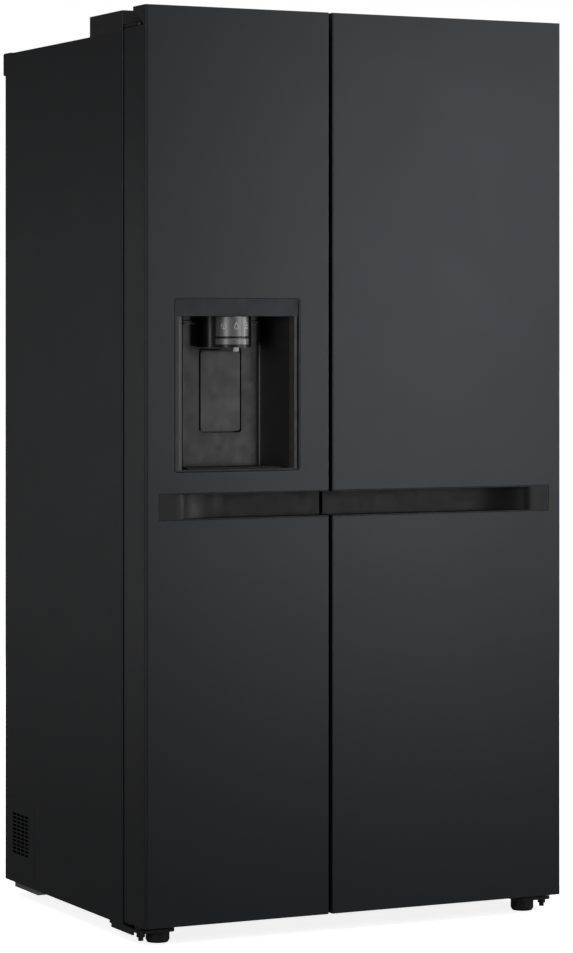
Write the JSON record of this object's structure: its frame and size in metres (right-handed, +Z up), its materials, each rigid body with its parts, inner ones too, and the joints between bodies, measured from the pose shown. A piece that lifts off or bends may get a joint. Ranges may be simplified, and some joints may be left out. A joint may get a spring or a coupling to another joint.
{
  "type": "side by side refrigerator",
  "caption": "Side-by-side refrigerator-freezer, matte black, with recessed horizontal handles and an ice and water dispenser in the freezer door.",
  "frame": {"origin": "centre of the footprint, on the floor: the bottom centre of the whole refrigerator's bounding box", "axes": "+Z up, +Y from the door fronts to the back, +X to the right seen from the front"},
  "size_m": [0.913, 0.735, 1.79],
  "materials": {
    "matte_black_steel": "satin",
    "black_case_steel": "matte",
    "grey_coated_steel": "satin",
    "dark_face_steel": "satin",
    "hinge_steel": "satin",
    "liner_white": "satin",
    "insulation_foam": "matte",
    "black_plastic": "matte",
    "handle_trim": "satin",
    "dispenser_plastic": "satin",
    "dispenser_fascia": "gloss",
    "dial_metal_look": "satin",
    "paddle_plastic": "satin",
    "gasket_grey": "matte",
    "clear_plastic": "gloss",
    "tempered_glass": "gloss",
    "shelf_trim_grey": "satin",
    "duct_white": "satin",
    "coil_aluminium": "satin",
    "compressor_black": "satin",
    "fan_plastic": "matte",
    "rear_cover_grey": "matte",
    "valve_plastic": "satin",
    "foot_plastic": "matte",
    "screw_steel": "satin"
  },
  "bodies": {
    "cabinet": {"left_side_panel": "black_case_steel", "right_side_panel": "black_case_steel", "top_panel": "black_case_steel", "back_panel": "grey_coated_steel", "front_frame": "dark_face_steel", "base_frame": "grey_coated_steel", "freezer_liner": "liner_white", "fridge_liner": "liner_white", "cabinet_foam": "insulation_foam", "compressor": "compressor_black", "condenser": "coil_aluminium", "condenser_fan_motor": "fan_plastic", "rear_cover": "rear_cover_grey", "side_vent_grilles": "black_plastic", "top_hinge_left": "hinge_steel", "top_hinge_right": "hinge_steel", "bottom_hinge_left": "hinge_steel", "bottom_hinge_right": "hinge_steel", "hinge_cover_left": "black_plastic", "hinge_cover_right": "black_plastic", "rear_top_rail": "black_plastic", "glass_shelves": "tempered_glass", "shelf_trims": "shelf_trim_grey", "evaporator": "coil_aluminium", "evaporator_cover": "duct_white", "fridge_air_duct": "duct_white", "water_inlet_valve": "valve_plastic", "screws": "screw_steel"},
    "freezer_door": {"freezer_door_skin": "matte_black_steel", "freezer_door_liner": "liner_white", "freezer_door_foam": "insulation_foam", "freezer_door_gasket": "gasket_grey", "freezer_door_end_caps": "black_plastic", "freezer_handle": "handle_trim", "freezer_door_bins": "clear_plastic", "dispenser_housing": "dispenser_plastic", "dispenser_fascia": "dispenser_fascia", "dispenser_chute": "dispenser_plastic", "drip_tray": "dispenser_plastic", "ice_maker": "duct_white"},
    "fridge_door": {"fridge_door_skin": "matte_black_steel", "fridge_door_liner": "liner_white", "fridge_door_foam": "insulation_foam", "fridge_door_gasket": "gasket_grey", "fridge_door_end_caps": "black_plastic", "fridge_handle": "handle_trim", "fridge_door_bins": "clear_plastic"},
    "dairy_cover": {"dairy_cover": "clear_plastic"},
    "dispenser_dial": {"dispenser_dial": "dial_metal_look"},
    "dispenser_paddle": {"dispenser_paddle": "paddle_plastic"},
    "levelling_foot_left": {"levelling_foot_left": "foot_plastic"},
    "levelling_foot_right": {"levelling_foot_right": "foot_plastic"},
    "rear_roller_left": {"rear_roller_left": "foot_plastic"},
    "rear_roller_right": {"rear_roller_right": "foot_plastic"},
    "condenser_fan": {"condenser_fan": "fan_plastic"},
    "evaporator_fan": {"evaporator_fan": "fan_plastic"},
    "freezer_drawer_lower": {"freezer_drawer_lower": "clear_plastic"},
    "freezer_drawer_upper": {"freezer_drawer_upper": "clear_plastic"},
    "crisper_lower": {"crisper_lower": "clear_plastic"},
    "crisper_upper": {"crisper_upper": "clear_plastic"}
  },
  "joints": [
    {"name": "freezer_door_hinge", "type": "hinge", "parent": "cabinet", "child": "freezer_door", "pos_m": [-0.443, -0.315, 0.9], "axis": [0, 0, -1], "range_deg": [0, 125]},
    {"name": "fridge_door_hinge", "type": "hinge", "parent": "cabinet", "child": "fridge_door", "pos_m": [0.443, -0.315, 0.9], "axis": [0, 0, 1], "range_deg": [0, 125]},
    {"name": "dairy_cover_hinge", "type": "hinge", "parent": "fridge_door", "child": "dairy_cover", "pos_m": [0.1915, -0.282, 1.5412], "axis": [1, 0, 0], "range_deg": [0, 70]},
    {"name": "dispenser_dial_turn", "type": "hinge", "parent": "freezer_door", "child": "dispenser_dial", "pos_m": [-0.2604, -0.3335, 1.179], "axis": [0, 0, 1], "range_deg": [-40, 40]},
    {"name": "dispenser_paddle_pivot", "type": "hinge", "parent": "freezer_door", "child": "dispenser_paddle", "pos_m": [-0.2624, -0.2815, 1.132], "axis": [1, 0, 0], "range_deg": [0, 3.5], "stiffness_Nm_per_rad": 0.8, "springref_deg": -5.73},
    {"name": "levelling_foot_left_screw", "type": "slide", "parent": "cabinet", "child": "levelling_foot_left", "axis": [0, 0, -1], "range_m": [0, 0.012]},
    {"name": "levelling_foot_right_screw", "type": "slide", "parent": "cabinet", "child": "levelling_foot_right", "axis": [0, 0, -1], "range_m": [0, 0.012]},
    {"name": "rear_roller_left_spin", "type": "hinge", "parent": "cabinet", "child": "rear_roller_left", "pos_m": [-0.4, 0.3, 0.02], "axis": [1, 0, 0], "continuous": true},
    {"name": "rear_roller_right_spin", "type": "hinge", "parent": "cabinet", "child": "rear_roller_right", "pos_m": [0.4, 0.3, 0.02], "axis": [1, 0, 0], "continuous": true},
    {"name": "condenser_fan_spin", "type": "hinge", "parent": "cabinet", "child": "condenser_fan", "pos_m": [0.017, 0.24, 0.135], "axis": [1, 0, 0], "continuous": true},
    {"name": "evaporator_fan_spin", "type": "hinge", "parent": "cabinet", "child": "evaporator_fan", "pos_m": [-0.2475, 0.267, 1.29], "axis": [0, 1, 0], "continuous": true},
    {"name": "freezer_drawer_lower_slide", "type": "slide", "parent": "cabinet", "child": "freezer_drawer_lower", "axis": [0, -1, 0], "range_m": [0, 0.028]},
    {"name": "freezer_drawer_upper_slide", "type": "slide", "parent": "cabinet", "child": "freezer_drawer_upper", "axis": [0, -1, 0], "range_m": [0, 0.028]},
    {"name": "crisper_lower_slide", "type": "slide", "parent": "cabinet", "child": "crisper_lower", "axis": [0, -1, 0], "range_m": [0, 0.028]},
    {"name": "crisper_upper_slide", "type": "slide", "parent": "cabinet", "child": "crisper_upper", "axis": [0, -1, 0], "range_m": [0, 0.028]}
  ]
}
